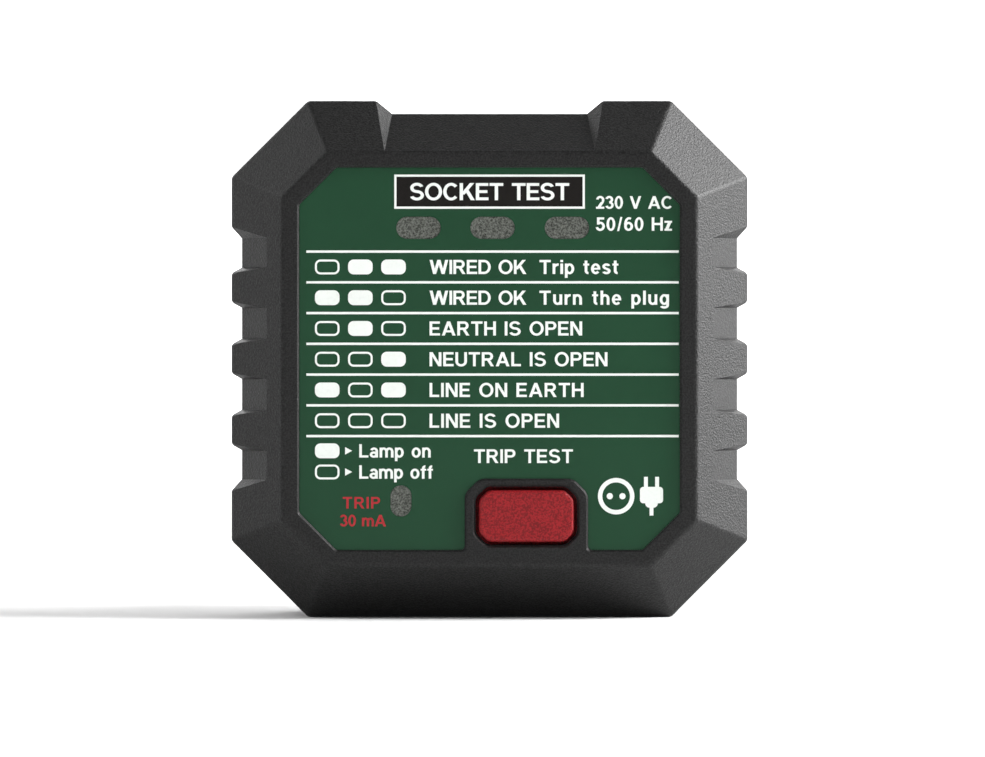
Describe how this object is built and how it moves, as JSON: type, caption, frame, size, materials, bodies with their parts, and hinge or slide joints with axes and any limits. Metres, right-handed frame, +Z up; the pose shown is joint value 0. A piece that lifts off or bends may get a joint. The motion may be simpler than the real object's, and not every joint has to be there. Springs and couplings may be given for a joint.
{
  "type": "outlet tester plug",
  "caption": "Square black plug-in mains outlet tester with bevelled grips, labelled face, indicator lamps, a red test button and a round two-pin plug.",
  "frame": {"origin": "centre of the plug face, midway between the two pins", "axes": "+Y along the plug pins into the wall, -Y towards the labelled face, +Z up towards the lamps, +X to the right as the label is read"},
  "size_m": [0.07, 0.0666, 0.07],
  "materials": {
    "case_black": "fine spark-eroded black ABS",
    "label_green": "satin printed film",
    "lens_frosted": "frosted grey-brown light window",
    "button_red": "grained red plastic",
    "print_white": "screen-printed white ink on the label",
    "print_red": "screen-printed red ink on the label",
    "print_black": "screen-printed black ink on the label",
    "spring_steel": "bright spring wire",
    "switch_black": "plain moulding",
    "plunger_white": "plain moulding",
    "board_green": "solder resist",
    "lamp_clear": "water-clear epoxy",
    "resistor_beige": "lacquer with colour bands",
    "resistor_grey": "cement coat",
    "diode_black": "epoxy",
    "capacitor_yellow": "epoxy-filled case",
    "fuse_green": "lacquer",
    "nickel": "nickel-plated brass",
    "contact_spring": "nickel-plated spring strip",
    "insulator_grey": "fibre sheet",
    "wire_brown": "PVC insulation",
    "wire_blue": "PVC insulation",
    "wire_green_yellow": "PVC insulation",
    "screw_zinc": "zinc-plated steel"
  },
  "bodies": {
    "root": {"front_housing": "case_black", "rear_housing": "case_black", "plug_body": "case_black", "face_label": "label_green", "window_left": "lens_frosted", "window_middle": "lens_frosted", "window_right": "lens_frosted", "window_trip": "lens_frosted", "button_spring": "spring_steel", "test_switch": "switch_black", "main_pcb": "board_green", "led_left": "lamp_clear", "led_middle": "lamp_clear", "led_right": "lamp_clear", "led_trip": "lamp_clear", "resistors": "resistor_beige", "power_resistor": "resistor_grey", "diodes": "diode_black", "capacitor": "capacitor_yellow", "fuse": "fuse_green", "live_pin": "nickel", "neutral_pin": "nickel", "earth_strap": "contact_spring", "earth_pin_socket": "nickel", "pin_retainer": "insulator_grey", "lead_live": "wire_brown", "lead_neutral": "wire_blue", "lead_earth": "wire_green_yellow", "housing_screws": "screw_zinc", "pcb_screws": "screw_zinc", "retainer_screws": "screw_zinc"},
    "button": {"test_button": "button_red"},
    "plunger": {"switch_plunger": "plunger_white"}
  },
  "joints": [
    {"name": "button_press", "type": "slide", "parent": "root", "child": "button", "axis": [0, 1, 0], "range_m": [0, 0.0013], "stiffness_N_per_m": 1500, "springref_m": -0.0006, "deforming": ["button_spring"]},
    {"name": "plunger_travel", "type": "slide", "parent": "root", "child": "plunger", "axis": [0, 1, 0], "range_m": [0, 0.0013]}
  ],
  "couplings": [
    {"joint": "plunger_travel", "follows": "button_press", "ratio": 1}
  ]
}
